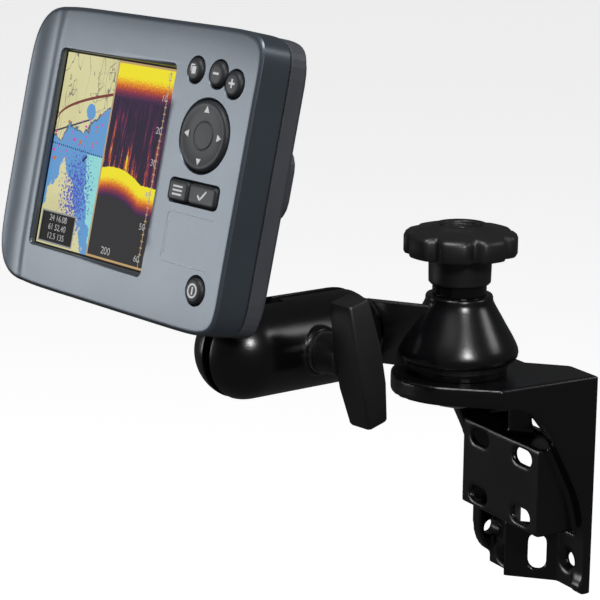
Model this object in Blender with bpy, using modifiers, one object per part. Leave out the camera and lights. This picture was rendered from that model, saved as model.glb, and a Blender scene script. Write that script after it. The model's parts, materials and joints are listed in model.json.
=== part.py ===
"""Fish finder on a wall-mounted swing arm, built as an assembly of separate pieces.

Frame: +Z up, the wall is the plane y = 0 and the unit stands out towards -Y.
The origin is the centre of the wall bracket's upper tie bar, on its rear face.
Lengths in the constants are millimetres; the helpers turn them into metres.
"""
import math

import bmesh
import bpy
from mathutils import Euler, Matrix, Vector

MM = 0.001
GAP = 0.3                      # between touching pieces

# ---- wall bracket ---------------------------------------------------------
HUB_Y = -54.8                  # vertical pivot axis, in front of the wall
PLATE_TOP = 16.6
PLATE_THICK = 9.4
PLATE_BOTTOM = PLATE_TOP - PLATE_THICK
NOSE_RADIUS = 32.5
NEAR_X = 41.0                  # outer face of the right gusset
FAR_X = -44.0                  # outer face of the left gusset
GUSSET_THICK = 8.0
FLANGE_THICK = 4.5
VEE_REAR = 18.5                # half width of the V groove at the wall
VEE_FRONT = 23.5
UPPER_BAND = (-20.0, PLATE_BOTTOM + 2.0)
LOWER_BAND = (-95.5, -66.0)
PAD_Y = -27.8
PAD_Z = -42.0
PAD_HALF = (33.0, 22.3)
PAD_WALL = 3.2
PAD_SLOT_PITCH = (36.6, 30.2)
PAD_SLOT = (15.0, 8.0)
LOW_SLOT = (9.4, 18.6)
HIGH_SLOT = (10.0, 11.8)

# ---- pivot stack on the bracket -------------------------------------------
STUD_RADIUS = 6.0
BORE_RADIUS = 6.4
WASHER_RADIUS = 24.2
CONE_BOTTOM = 23.5
CONE_TOP = 55.2
BUSH_RADIUS = 13.2
NECK_BOTTOM = 60.6
NECK_RADIUS = 15.2
LOBE_RADIUS = 27.5
LOBE_BOTTOM = 74.7
KNOB_TOP = 89.4
LOBES = 8

LEVER_SECTION = ((-14.0, 19.6), (14.0, 19.6), (14.0, 49.9), (12.5, 51.2), (-14.0, 44.2))
KNOB_PHASE = 27.0
ROOF_THICK = 3.0

# ---- balls and double-socket arm ------------------------------------------
BALL_RADIUS = 19.05
BALL_A = Vector((-29.4, -107.5, 34.3))
ARM_YAW = 12.2
ARM_PITCH = -2.0
ARM_HALF = 29.0                # from the clamp bolt to each ball centre
SHELL_RADIUS = 23.0
SHELL_SPLIT = 2.6
STEM_RADIUS = 4.5
BOLT_RADIUS = 4.0
HANDLE_TILT = 14.7
GRIP_X = 48.0                  # centre of the T handle's bar
GRIP_SECTION = (17.5, 15.6)
GRIP_STATIONS = ((-31.0, 0.78), (-12.0, 0.98), (6.0, 1.0), (31.0, 0.80))

# ---- display head ---------------------------------------------------------
HEAD_TURN = (-13.3, -0.5, 9.8)
HEAD_LEFT = 91.5
HEAD_RIGHT = 87.3
HEAD_TALL = 68.0               # half height
LEFT_POWER = 8.0               # exponents of the outline's superellipse
RIGHT_POWER = 13.0
FACE_Y = -1.0
FACE_THICK = 3.0
SEAM_Y = 16.2
COVER_Y = 28.5
HUMP_Y = 34.5
WALL = 2.5
WINDOW_AT = (-19.0, -0.5)
WINDOW = (94.0, 95.0)
BALL_B = Vector((40.2, 57.9, -76.7))
KEY_RISE = 1.4
ADAPTER_HALF_X = 42.5
ADAPTER_CORNER = 12.0
ADAPTER_Y = (45.0, 67.3)
ADAPTER_Z = (-17.0, 21.0)

ROUND_KEYS = {"key_pages": (43.3, 47.3, 5.4), "key_zoom_out": (59.7, 46.9, 5.8),
              "key_zoom_in": (71.9, 43.7, 5.8), "key_power": (70.1, -48.4, 6.0)}
BAR_KEYS = {"key_menu": (47.0, -6.9, 14.4, 9.3), "key_enter": (64.6, -6.9, 19.8, 9.3)}
DPAD = (57.6, 19.0, 16.6)
HEAD_SCREWS = [(x, z) for x in (-74.0, 74.0) for z in (-54.0, 54.0)]


# ---- helpers --------------------------------------------------------------
def start_scene():
    for old in list(bpy.data.objects):
        bpy.data.objects.remove(old, do_unlink=True)
    for name in ("fish_finder", "cutters"):
        group = bpy.data.collections.new(name)
        bpy.context.scene.collection.children.link(group)


def material(name, colour, roughness, metallic=0.0):
    mat = bpy.data.materials.get(name)
    if mat:
        return mat
    mat = bpy.data.materials.new(name)
    mat.use_nodes = True
    shader = mat.node_tree.nodes["Principled BSDF"]
    shader.inputs["Base Color"].default_value = (*colour, 1.0)
    shader.inputs["Roughness"].default_value = roughness
    shader.inputs["Metallic"].default_value = metallic
    return mat


def black_casting():
    return material("black_casting", (0.012, 0.012, 0.013), 0.35)


def black_plastic():
    return material("black_plastic", (0.015, 0.015, 0.016), 0.45)


def grey_paint():
    return material("grey_paint", (0.30, 0.36, 0.43), 0.38, 0.35)


def slate_plastic():
    return material("slate_plastic", (0.06, 0.07, 0.085), 0.45)


def key_rubber():
    return material("key_rubber", (0.02, 0.022, 0.025), 0.55)


def steel():
    return material("steel", (0.55, 0.55, 0.56), 0.28, 1.0)


def brass():
    return material("brass", (0.75, 0.55, 0.25), 0.35, 1.0)


def nylon():
    return material("nylon", (0.01, 0.01, 0.01), 0.18)


def rubber():
    return material("ball_rubber", (0.012, 0.012, 0.012), 0.6)


def glass():
    return material("window_glass", (0.08, 0.09, 0.10), 0.08)


def screen():
    return material("screen", (0.45, 0.50, 0.42), 0.3)


def board():
    return material("circuit_board", (0.03, 0.16, 0.07), 0.5)


def frame_empty(name, at, turn, parent=None):
    empty = bpy.data.objects.new(name, None)
    empty.location = Vector(at) * MM
    empty.rotation_euler = Euler([math.radians(a) for a in turn])
    empty.parent = parent
    bpy.data.collections["fish_finder"].objects.link(empty)
    return empty


def place(obj, at, turn, parent, mat):
    obj.location = Vector(at) * MM
    obj.rotation_euler = Euler([math.radians(a) for a in turn])
    obj.parent = parent
    if mat:
        obj.data.materials.clear()
        obj.data.materials.append(mat)
        group = "fish_finder"
    else:
        obj.hide_render = True
        obj.display_type = "WIRE"
        group = "cutters"
    bpy.data.collections[group].objects.link(obj)
    return obj


def mesh_object(name, build):
    mesh = bpy.data.meshes.new(name)
    shape = bmesh.new()
    build(shape)
    shape.to_mesh(mesh)
    shape.free()
    mesh.shade_smooth()
    mesh.set_sharp_from_angle(angle=math.radians(35))
    return bpy.data.objects.new(name, mesh)


def box(name, low, high, mat=None, parent=None, at=(0, 0, 0), turn=(0, 0, 0)):
    """A box between two corners, given from the object's own origin."""
    middle = (Vector(low) + Vector(high)) * 0.5 * MM
    size = [abs(b - a) * MM for a, b in zip(low, high)]

    def build(shape):
        matrix = Matrix.Translation(middle) @ Matrix.Diagonal((*size, 1.0))
        bmesh.ops.create_cube(shape, size=1.0, matrix=matrix)

    return place(mesh_object(name, build), at, turn, parent, mat)


AXIS_TURN = {"Z": Matrix.Identity(4), "X": Matrix.Rotation(math.pi / 2, 4, "Y"),
             "Y": Matrix.Rotation(-math.pi / 2, 4, "X")}


def rod(name, radius, start, end, axis="Z", mat=None, parent=None, at=(0, 0, 0),
        turn=(0, 0, 0), sides=32):
    """A cylinder along one axis through the object's origin."""
    def build(shape):
        middle = Matrix.Translation((0, 0, (start + end) * 0.5 * MM))
        bmesh.ops.create_cone(shape, cap_ends=True, segments=sides, radius1=radius * MM,
                              radius2=radius * MM, depth=abs(end - start) * MM,
                              matrix=AXIS_TURN[axis] @ middle)

    return place(mesh_object(name, build), at, turn, parent, mat)


def ball(name, radius, mat=None, parent=None, at=(0, 0, 0), turn=(0, 0, 0)):
    def build(shape):
        bmesh.ops.create_uvsphere(shape, u_segments=28, v_segments=16, radius=radius * MM)

    return place(mesh_object(name, build), at, turn, parent, mat)


def turned(name, profile, axis="Z", mat=None, parent=None, at=(0, 0, 0), turn=(0, 0, 0),
           steps=40, closed=False):
    """A profile of (radius, height), from top to bottom down its outer side."""
    def build(shape):
        corners = [shape.verts.new((r * MM, 0, h * MM)) for r, h in profile]
        for first, second in zip(corners, corners[1:]):
            shape.edges.new((first, second))
        if closed:
            shape.edges.new((corners[-1], corners[0]))

    obj = mesh_object(name, build)
    screw = obj.modifiers.new("Screw", "SCREW")
    screw.steps = steps
    screw.render_steps = steps
    screw.use_merge_vertices = True
    screw.merge_threshold = 0.00001
    solid = settle(obj)
    solid.transform(AXIS_TURN[axis])
    obj.modifiers.clear()
    obj.data = solid
    return place(obj, at, turn, parent, mat)


def settle(obj):
    """The mesh that an unlinked object has after its modifiers."""
    scene = bpy.context.scene.collection.objects
    scene.link(obj)
    bpy.context.view_layer.update()
    graph = bpy.context.evaluated_depsgraph_get()
    mesh = bpy.data.meshes.new_from_object(obj.evaluated_get(graph))
    scene.unlink(obj)
    return mesh


def slab(name, outlines, thickness, axis="Z", start=0.0, mat=None, parent=None,
         at=(0, 0, 0), turn=(0, 0, 0)):
    """A flat outline (with any holes after it) swept along one axis from start."""
    curve = bpy.data.curves.new(name, "CURVE")
    curve.dimensions = "2D"
    curve.fill_mode = "BOTH"
    curve.extrude = thickness * 0.5 * MM
    for outline in outlines:
        spline = curve.splines.new("POLY")
        spline.points.add(len(outline) - 1)
        for point, (u, v) in zip(spline.points, outline):
            point.co = (u * MM, v * MM, 0, 1)
        spline.use_cyclic_u = True
    flat = bpy.data.objects.new(name + "_outline", curve)
    mesh = settle(flat)
    bpy.data.objects.remove(flat)

    def build(shape):
        shape.from_mesh(mesh)
        bmesh.ops.remove_doubles(shape, verts=shape.verts, dist=0.000001)
        matrix = SLAB_TURN[axis] @ Matrix.Translation((0, 0, (start + thickness * 0.5) * MM))
        bmesh.ops.transform(shape, matrix=matrix, verts=shape.verts)
        if matrix.determinant() < 0:
            bmesh.ops.reverse_faces(shape, faces=shape.faces)

    return place(mesh_object(name, build), at, turn, parent, mat)


# the outline's (u, v) are (x, y), (y, z) and (x, z) for the axes Z, X and Y
SLAB_TURN = {"Z": Matrix.Identity(4),
             "X": Matrix(((0, 0, 1, 0), (1, 0, 0, 0), (0, 1, 0, 0), (0, 0, 0, 1))),
             "Y": Matrix(((1, 0, 0, 0), (0, 0, 1, 0), (0, 1, 0, 0), (0, 0, 0, 1)))}


def combine(target, operation, others):
    for other in others:
        if bpy.data.collections["cutters"] not in other.users_collection:
            raise ValueError(other.name)
        step = target.modifiers.new(operation.lower(), "BOOLEAN")
        step.operation = operation
        step.solver = "EXACT"
        step.object = other
    return target


def fuse(target, *others):
    return combine(target, "UNION", others)


def carve(target, *others):
    return combine(target, "DIFFERENCE", others)


def arc(centre, radius, start, end, count):
    """Points on a circle between two angles in degrees, ends included."""
    angles = [math.radians(start + (end - start) * i / (count - 1)) for i in range(count)]
    return [(centre[0] + radius * math.cos(a), centre[1] + radius * math.sin(a)) for a in angles]


def rounded(centre, width, height, radius, count=5):
    """A rectangle with round corners, anticlockwise."""
    x, y = width * 0.5 - radius, height * 0.5 - radius
    corners = [(x, y, 0), (-x, y, 90), (-x, -y, 180), (x, -y, 270)]
    points = []
    for dx, dy, start in corners:
        points += arc((centre[0] + dx, centre[1] + dy), radius, start, start + 90, count)
    return points


def circle(centre, radius, count=24):
    return arc(centre, radius, 0, 360 * (count - 1) / count, count)


def head_outline(inset=0.0, count=44):
    """A superellipse whose right half has tighter corners than its left."""
    points = []
    for i in range(count):
        angle = 2 * math.pi * i / count
        c, s = math.cos(angle), math.sin(angle)
        half, power = (HEAD_RIGHT, RIGHT_POWER) if c > 0 else (HEAD_LEFT, LEFT_POWER)
        x = math.copysign(abs(c) ** (2 / power), c) * (half - inset)
        z = math.copysign(abs(s) ** (2 / power), s) * (HEAD_TALL - inset)
        points.append((x, z))
    return points


def flowing(points, steps=4):
    """A Catmull-Rom line through a few points."""
    ends = [points[0]] + list(points) + [points[-1]]
    line = []
    for a, b, c, d in zip(ends, ends[1:], ends[2:], ends[3:]):
        for i in range(steps):
            t = i / steps
            line.append(tuple(0.5 * (2 * q + (r - p) * t + (2 * p - 5 * q + 4 * r - s) * t * t
                                     + (3 * q - p - 3 * r + s) * t ** 3)
                              for p, q, r, s in zip(a, b, c, d)))
    return line + [points[-1]]


# ---- wall bracket ---------------------------------------------------------
def plate_outline():
    nose = arc((0, HUB_Y), NOSE_RADIUS, -45, -135, 17)
    vee = [(FAR_X + GUSSET_THICK, 0), (-VEE_REAR, -12), (0, -VEE_REAR), (VEE_REAR, 0)]
    return [(NEAR_X, 0), (NEAR_X, HUB_Y - 2)] + nose + [(FAR_X, HUB_Y - 2), (FAR_X, 0)] + vee


def band_outline():
    rear = [(NEAR_X, 0), (VEE_REAR, 0), (0, -VEE_REAR), (-VEE_REAR, 0), (FAR_X, 0)]
    bend = VEE_FRONT - FLANGE_THICK
    front = [(FAR_X, -FLANGE_THICK), (-bend, -FLANGE_THICK), (0, -VEE_FRONT),
             (bend, -FLANGE_THICK), (NEAR_X, -FLANGE_THICK)]
    return (rear + front)[::-1]


def near_gusset_outline():
    edge = flowing([(-56.8, 6.2), (-45, 5), (-36, 0), (-29, -8), (-21.6, -20), (-13.3, -36),
                    (-8.5, -47), (-4.8, -63), (-4.5, -85), (-7, -91), (-5.5, -94.8), (-3, -95.8)])
    return [(0, PLATE_BOTTOM + 2), (-56.8, PLATE_BOTTOM + 2)] + edge + [(0, -93.5)]


def far_gusset_outline():
    edge = flowing([(-56.8, 6), (-43, 3), (-33, -8), (-26.3, -19.5), (-20.4, -32.5), (-14, -52),
                    (-13, -74), (-12.3, -86), (-8, -95), (-1, -99.5)])
    return [(0, PLATE_BOTTOM + 2), (-56.8, PLATE_BOTTOM + 2)] + edge + [(0, -99.5)]


def strap_slot_cutter(name, side, z, size):
    middle = (VEE_REAR + VEE_FRONT) * 0.25
    outline = rounded((0, 0), size[0], size[1], size[0] * 0.45)
    return slab(name, [outline], 16, "Y", -8, at=(side * middle, -middle, z),
                turn=(0, 0, 45 * side))


def wall_bracket():
    body = slab("wall_bracket", [plate_outline()], PLATE_THICK, "Z", PLATE_BOTTOM,
                mat=black_casting())
    low, high = UPPER_BAND
    upper = slab("bracket_upper_band", [band_outline()], high - low, "Z", low)
    low, high = LOWER_BAND
    lower = slab("bracket_lower_band", [band_outline()], high - low, "Z", low)
    near = slab("bracket_near_gusset", [near_gusset_outline()], GUSSET_THICK, "X",
                NEAR_X - GUSSET_THICK)
    far = slab("bracket_far_gusset", [far_gusset_outline()], GUSSET_THICK - 1, "X", FAR_X)
    foot = box("bracket_far_foot", (-40, -FLANGE_THICK, -104), (-17, 0, -80))
    tie = box("bracket_tie", (-20, -4, -6), (20, 0, 6))
    fuse(body, upper, lower, near, far, foot, tie, *bracket_pad())
    carve(body, *pad_slot_cutters())
    for side in (-1, 1):
        carve(body, strap_slot_cutter("strap_slot_low_%d" % side, side, -80.8, LOW_SLOT),
              strap_slot_cutter("strap_slot_high_%d" % side, side, -12.0, HIGH_SLOT))
    holes = {"near_low": (27, -81.6), "far_low": (-27, -96.5), "near_high": (27, -8),
             "far_high": (-27, -8)}
    for name, (x, z) in holes.items():
        carve(body, screw_hole_cutter(name, x, z))
    carve(body, rod("gusset_hole_cutter", 4, -50, -30, "X", at=(0, -5.5, -84)))
    carve(body, rod("stud_hole_cutter", BORE_RADIUS, 0, 30, at=(0, HUB_Y, 0)))
    return body


def screw_hole_cutter(name, x, z):
    profile = [(0, 2), (6.5, 2), (6.5, 0), (3.3, -3.2), (3.3, -12), (0, -12)]
    return turned("screw_hole_" + name, profile, at=(x, -FLANGE_THICK, z), turn=(90, 0, 0),
                  steps=16)


def bracket_pad():
    half, tall = PAD_HALF
    back = PAD_Y + PAD_WALL
    wall = 3.5
    outline = [(-half, PAD_Y), (half, PAD_Y), (half, -5), (half - wall, -5),
               (half - wall, back), (-half + wall, back), (-half + wall, -5), (-half, -5)]
    pad = slab("bracket_pad", [outline], tall * 2, "Z", PAD_Z - tall)
    top = PAD_Z + tall
    roof = box("bracket_pad_roof", (-half + 1, PAD_Y + 1, top - ROOF_THICK), (half - 1, -4, top))
    return pad, roof


def pad_slot_cutters():
    cutters = []
    pitch_x, pitch_z = PAD_SLOT_PITCH
    for i, (sx, sz) in enumerate([(-1, -1), (-1, 1), (1, -1), (1, 1)]):
        centre = (sx * pitch_x * 0.5, PAD_Z + sz * pitch_z * 0.5)
        outline = rounded(centre, PAD_SLOT[0], PAD_SLOT[1], PAD_SLOT[1] * 0.499)
        cutters.append(slab("pad_slot_%d" % i, [outline], 8, "Y", PAD_Y - 1))
    return cutters


# ---- pivot stack ----------------------------------------------------------
def ring(name, outer, inner, low, high, mat, axis="Z", parent=None, at=(0, 0, 0), steps=36):
    profile = [(inner, high), (outer, high), (outer, low), (inner, low)]
    return turned(name, profile, axis, mat, parent, at, steps=steps, closed=True)


def pivot_stud():
    hub = (0, HUB_Y, 0)
    stud = rod("pivot_stud", STUD_RADIUS, 4, 81, mat=steel(), at=hub, sides=24)
    fuse(stud, rod("stud_head", 10, -0.2, PLATE_BOTTOM - GAP, at=hub, sides=6))
    return stud


def pivot_washers():
    hub = (0, HUB_Y, 0)
    ring("lower_washer", WASHER_RADIUS, BORE_RADIUS, PLATE_TOP + GAP, 19.8, nylon(), at=hub)
    ring("upper_washer", WASHER_RADIUS + 0.5, BORE_RADIUS, 20.1, CONE_BOTTOM - GAP, steel(), at=hub)
    ring("top_bushing", BUSH_RADIUS, BORE_RADIUS, CONE_TOP + GAP, NECK_BOTTOM - GAP, nylon(), at=hub)


def lobed_outline(count=80):
    points = []
    for i in range(count):
        angle = 2 * math.pi * i / count
        flute = (0.5 + 0.5 * math.cos(LOBES * angle)) ** 5
        radius = LOBE_RADIUS - 4.0 * flute
        points.append((radius * math.cos(angle), radius * math.sin(angle)))
    return points


def clamp_knob():
    hub = (0, HUB_Y, 0)
    knob = slab("clamp_knob", [lobed_outline()], 10.5, "Z", LOBE_BOTTOM, mat=black_plastic(),
                at=hub, turn=(0, 0, KNOB_PHASE))
    neck = turned("knob_neck", [(0, KNOB_TOP), (12.5, KNOB_TOP), (13, LOBE_BOTTOM + 10.0),
                                (16, LOBE_BOTTOM + 8), (NECK_RADIUS + 0.4, LOBE_BOTTOM),
                                (NECK_RADIUS, NECK_BOTTOM), (0, NECK_BOTTOM)], at=hub)
    recess = rod("knob_recess", 10.0, KNOB_TOP - 2.5, KNOB_TOP + 2, at=hub, sides=24)
    pocket = rod("knob_pocket", 9.8, NECK_BOTTOM - 1, 76, at=hub, sides=24)
    bore = rod("knob_bore", BORE_RADIUS, NECK_BOTTOM - 1, 83, at=hub, sides=24)
    fuse(knob, neck)
    carve(knob, recess, pocket, bore)
    ring("knob_insert", 9.5, BORE_RADIUS, NECK_BOTTOM + 0.4, 75.7, brass(), at=hub, steps=28)
    cap = rod("knob_cap", 9.7, KNOB_TOP - 2.2, KNOB_TOP - 0.6, mat=black_plastic(), at=hub,
              sides=24)
    carve(cap, box("cap_slot", (-8, -1, KNOB_TOP - 1.4), (8, 1, KNOB_TOP + 1), at=hub))


def swing_arm(arm):
    """Cone hub, side lever and the post that carries the first ball."""
    hub = (0, HUB_Y, 0)
    cone = [(0, CONE_TOP), (16.4, CONE_TOP), (16.4, 52.3), (17, 50.5), (28.6, 30.5), (29.4, 27),
            (28.8, 24.8), (27.8, CONE_BOTTOM), (0, CONE_BOTTOM)]
    body = turned("swing_arm", cone, mat=black_casting(), at=hub, steps=44)
    root = arm.matrix_basis @ (Vector((0, ARM_HALF + 27, 0)) * MM)
    lever = root - Vector(hub) * MM
    heading = math.degrees(math.atan2(lever.y, lever.x))
    reach = lever.to_2d().length / MM
    bar = slab("swing_lever", [LEVER_SECTION], reach - 2, "X", 2, at=hub, turn=(0, 0, heading))
    carve(bar, rod("lever_relief", 26.5, CONE_BOTTOM - 10, CONE_BOTTOM + 0.5, at=hub, sides=40))
    scoop = ball("lever_scoop", SHELL_RADIUS + 1.3, parent=arm, at=(0, ARM_HALF, 0))
    post = rod("ball_post_a", STEM_RADIUS, ARM_HALF + 9, ARM_HALF + 34, "Y", parent=arm, sides=20)
    fuse(body, bar)
    carve(body, scoop)
    fuse(body, post)
    carve(body, rod("swing_bore", BORE_RADIUS, CONE_BOTTOM - 2, CONE_TOP + 2, at=hub, sides=24))
    return body


# ---- double-socket arm ----------------------------------------------------
def capsule(name, radius, half, mat=None, parent=None):
    top = [(radius * math.sin(math.radians(a)), half + radius * math.cos(math.radians(a)))
           for a in range(0, 91, 9)]
    profile = top + [(r, -h) for r, h in reversed(top)]
    return turned(name, profile, "Y", mat, parent, steps=32)


def socket_shell(name, side, arm):
    """Half of the clamp arm on one side (+1 or -1) of its split plane."""
    shell = capsule(name, SHELL_RADIUS, ARM_HALF, black_casting(), arm)
    far = 40.0
    keep = sorted((SHELL_SPLIT * side, -far * side))
    split = box(name + "_split", (keep[0], -80, -far), (keep[1], 80, far), parent=arm)
    boss = rod(name + "_boss", 11, 12 * side, 23.6 * side, "X", parent=arm)
    fuse(shell, boss)
    carve(shell, split)
    for end in (-1, 1):
        carve(shell, ball(name + "_cup_%d" % end, BALL_RADIUS + GAP, parent=arm,
                          at=(0, end * ARM_HALF, 0), turn=(0, 90, 0)))
    carve(shell, rod(name + "_hollow", 17, -15, 15, "Y", parent=arm),
          rod(name + "_bolt_hole", BOLT_RADIUS + 0.3, -30, 30, "X", parent=arm, sides=20),
          box(name + "_relief_a", (-6, ARM_HALF + 11, -14), (6, 70, 14), parent=arm),
          box(name + "_relief_b", (-6, -ARM_HALF - 11, 11), (6, -ARM_HALF + 19, 50), parent=arm))
    return shell


def arm_spring(arm):
    """Compression spring that pushes the two shells apart."""
    curve = bpy.data.curves.new("arm_spring", "CURVE")
    curve.dimensions = "3D"
    curve.bevel_depth = 0.9 * MM
    curve.bevel_resolution = 1
    curve.use_fill_caps = True
    turns, per_turn, radius, half = 5, 10, 8.0, 14.5
    spline = curve.splines.new("POLY")
    total = turns * per_turn
    spline.points.add(total)
    for i, point in enumerate(spline.points):
        angle = 2 * math.pi * i / per_turn
        along = -half + 2 * half * i / total
        point.co = (along * MM, radius * math.cos(angle) * MM, radius * math.sin(angle) * MM, 1)
    coil = bpy.data.objects.new("arm_spring_path", curve)
    mesh = settle(coil)
    bpy.data.objects.remove(coil)

    def build(shape):
        shape.from_mesh(mesh)
        bmesh.ops.remove_doubles(shape, verts=shape.verts, dist=0.000001)

    return place(mesh_object("arm_spring", build), (0, 0, 0), (0, 0, 0), arm, steel())


def handle_grip(arm):
    """A square bar that narrows from its middle to both ends."""
    def build(shape):
        rings = []
        for along, scale in GRIP_STATIONS:
            section = rounded((0, 0), GRIP_SECTION[0] * scale, GRIP_SECTION[1] * scale, 1.8, 3)
            rings.append([shape.verts.new(((GRIP_X + x) * MM, y * MM, along * MM))
                          for x, y in section])
        for low, high in zip(rings, rings[1:]):
            for i, first in enumerate(low):
                after = (i + 1) % len(low)
                shape.faces.new((first, low[after], high[after], high[i]))
        shape.faces.new(rings[0][::-1])
        shape.faces.new(rings[-1])

    return place(mesh_object("handle_grip", build), (0, 0, 0), (HANDLE_TILT, 0, 0), arm, None)


def clamp_handle(arm):
    """T handle with its washer, turning on the clamp bolt."""
    ring("handle_washer", 10.2, BOLT_RADIUS + GAP, 23.9, 25.6, steel(), "X", arm, steps=28)
    handle = rod("clamp_handle", 9.2, 25.9, 41, "X", mat=black_plastic(), parent=arm)
    fuse(handle, handle_grip(arm))
    carve(handle, rod("handle_bore", BOLT_RADIUS + 0.3, 20, 44, "X", parent=arm, sides=20))
    return handle


def clamp_bolt(arm):
    bolt = rod("clamp_bolt", BOLT_RADIUS, -25, 42, "X", mat=steel(), parent=arm, sides=20)
    fuse(bolt, rod("bolt_head", 8.5, -26.5, -23.9, "X", parent=arm, sides=24))
    return bolt


# ---- display head ---------------------------------------------------------
def head_slab(name, inset, start, end, head, mat=None):
    return slab(name, [head_outline(inset)], end - start, "Y", start, mat=mat, parent=head)


def front_housing(head):
    body = head_slab("front_housing", 0.0, FACE_Y + 3.0, SEAM_Y, head, grey_paint())
    lip = head_slab("housing_front_lip", 2.0, FACE_Y, FACE_Y + 4.0, head)
    inner = head_slab("housing_hollow", WALL, FACE_Y + FACE_THICK + 2.5, SEAM_Y + 1, head)
    fuse(body, lip)
    carve(body, inner)
    opening = rounded(WINDOW_AT, WINDOW[0], WINDOW[1], 2.0)
    seat = rounded(WINDOW_AT, WINDOW[0] + 8, WINDOW[1] + 8, 3.0)
    carve(body, slab("window_opening", [opening], 8, "Y", FACE_Y - 1, parent=head),
          slab("window_seat", [seat], 6, "Y", FACE_Y + FACE_THICK, parent=head))
    for name, outline in key_outlines(0.4).items():
        carve(body, slab(name + "_hole", [outline], 12, "Y", FACE_Y - 2, parent=head))
    return body


def key_outlines(grow):
    outlines = {}
    for name, (x, z, radius) in ROUND_KEYS.items():
        outlines[name] = circle((x, z), radius + grow, 24)
    for name, (x, z, width, height) in BAR_KEYS.items():
        outlines[name] = rounded((x, z), width + 2 * grow - 0.5, height + 2 * grow, 2.0, 4)
    outlines["key_arrows"] = circle(DPAD[:2], DPAD[2] + grow, 40)
    return outlines


def keys(head):
    for name, outline in key_outlines(0.0).items():
        slab(name, [outline], 5.4 + KEY_RISE, "Y", FACE_Y - KEY_RISE, mat=key_rubber(), parent=head)


def display_stack(head):
    x, z = WINDOW_AT
    half_x, half_z = WINDOW[0] * 0.5, WINDOW[1] * 0.5
    sheet = rounded(WINDOW_AT, WINDOW[0] + 7, WINDOW[1] + 7, 2.5)
    start = FACE_Y + FACE_THICK + GAP
    slab("window", [sheet], 1.5, "Y", start, mat=glass(), parent=head)
    low = (x - half_x - 2, start + 1.8, z - half_z - 2)
    box("lcd_panel", low, (x + half_x + 2, start + 4.3, z + half_z + 2), screen(), head)
    low = (x - half_x - 3, start + 4.6, z - half_z - 3)
    box("backlight", low, (x + half_x + 3, start + 6.6, z + half_z + 3), black_plastic(), head)
    box("main_board", (-76, start + 9.5, -56), (76, start + 11.1, 50), board(), head)
    rod("beeper", 6, start + 11.4, start + 15.5, "Y", black_plastic(), head, at=(-50, 0, 30))
    box("keypad_mat", (36, 6.0, -57), (79, 7.2, 56), key_rubber(), head)


def seam_gasket(head):
    outlines = [head_outline(0.7), head_outline(WALL + 0.8)]
    return slab("seam_gasket", outlines, 0.5, "Y", SEAM_Y + 0.2, mat=key_rubber(), parent=head)


def rear_cover(head):
    start = SEAM_Y + 1.0
    body = head_slab("rear_cover", 0.3, start, COVER_Y - 3, head, slate_plastic())
    back = head_slab("cover_back", 3.0, COVER_Y - 4, COVER_Y, head)
    hump = slab("cover_hump", [rounded((0, 0), 96, 84, 8)], 8, "Y", COVER_Y - 2, parent=head)
    inner = head_slab("cover_hollow", WALL + 0.5, start - 1, COVER_Y - 3.5, head)
    fuse(body, back, hump)
    carve(body, inner)
    for name, x in (("power", -36.0), ("sonar", -16.0)):
        carve(body, rod("socket_seat_" + name, 7.4, 18, 40, "Y", parent=head, at=(x, 0, -28),
                        sides=24))
    for i, (x, z) in enumerate(HEAD_SCREWS):
        carve(body, rod("screw_seat_%d" % i, 2.3, 10, 40, "Y", parent=head, at=(x, 0, z), sides=16),
              rod("head_seat_%d" % i, 3.9, COVER_Y - 2.2, 40, "Y", parent=head, at=(x, 0, z),
                  sides=16))
    return body


def rear_sockets(head):
    for name, x in (("power_socket", -36.0), ("sonar_socket", -16.0)):
        at = (x, 0, -28)
        body = rod(name, 7.1, 20, 38, "Y", steel(), head, at=at, sides=24)
        carve(body, rod(name + "_well", 5.6, 24, 40, "Y", parent=head, at=at, sides=24))
        pins = [(3.4, 0), (-3.4, 0), (0, 3.4), (0, -3.4)]
        for i, (dx, dz) in enumerate(pins):
            at_pin = (x + dx, 0, -28 + dz)
            fuse(body, rod("%s_pin_%d" % (name, i), 0.7, 23, 34, "Y", parent=head, at=at_pin,
                           sides=8))


def housing_screws(head):
    for i, (x, z) in enumerate(HEAD_SCREWS):
        at = (x, 0, z)
        screw = rod("housing_screw_%d" % (i + 1), 2.0, 17.5, COVER_Y - 1.5, "Y", steel(), head,
                    at=at, sides=12)
        fuse(screw, rod("screw_head_%d" % i, 3.6, COVER_Y - 1.9, COVER_Y - 0.4, "Y", parent=head,
                        at=at, sides=16))


def mount_adapter(head):
    tall = ADAPTER_Z[1] - ADAPTER_Z[0]
    outline = rounded((0, ADAPTER_Z[0] + tall * 0.5), ADAPTER_HALF_X * 2, tall, ADAPTER_CORNER, 6)
    body = slab("mount_adapter", [outline], ADAPTER_Y[1] - ADAPTER_Y[0], "Y", ADAPTER_Y[0],
                mat=black_plastic(), parent=head)
    neck = box("adapter_neck", (-28, HUMP_Y + GAP, -15), (28, ADAPTER_Y[0] + 2, 19), parent=head)
    fuse(body, neck)
    carve(body, rod("post_socket", 3.4, ADAPTER_Z[0] - 1, -5, parent=head, at=post_axis(), sides=20))
    for i, x in enumerate((-18.0, 18.0)):
        at = (x, 0, 2)
        carve(body, rod("adapter_hole_%d" % i, 2.6, 30, 70, "Y", parent=head, at=at, sides=16),
              rod("adapter_seat_%d" % i, 5.0, 62, 70, "Y", parent=head, at=at, sides=20))
        screw = rod("adapter_screw_%d" % (i + 1), 2.2, HUMP_Y + 1, 63, "Y", steel(), head, at=at, sides=12)
        fuse(screw, rod("adapter_head_%d" % i, 4.6, 62.4, 64.8, "Y", parent=head, at=at, sides=20))
    return body


def post_axis():
    return (BALL_B.x, BALL_B.y, 0)


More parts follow.
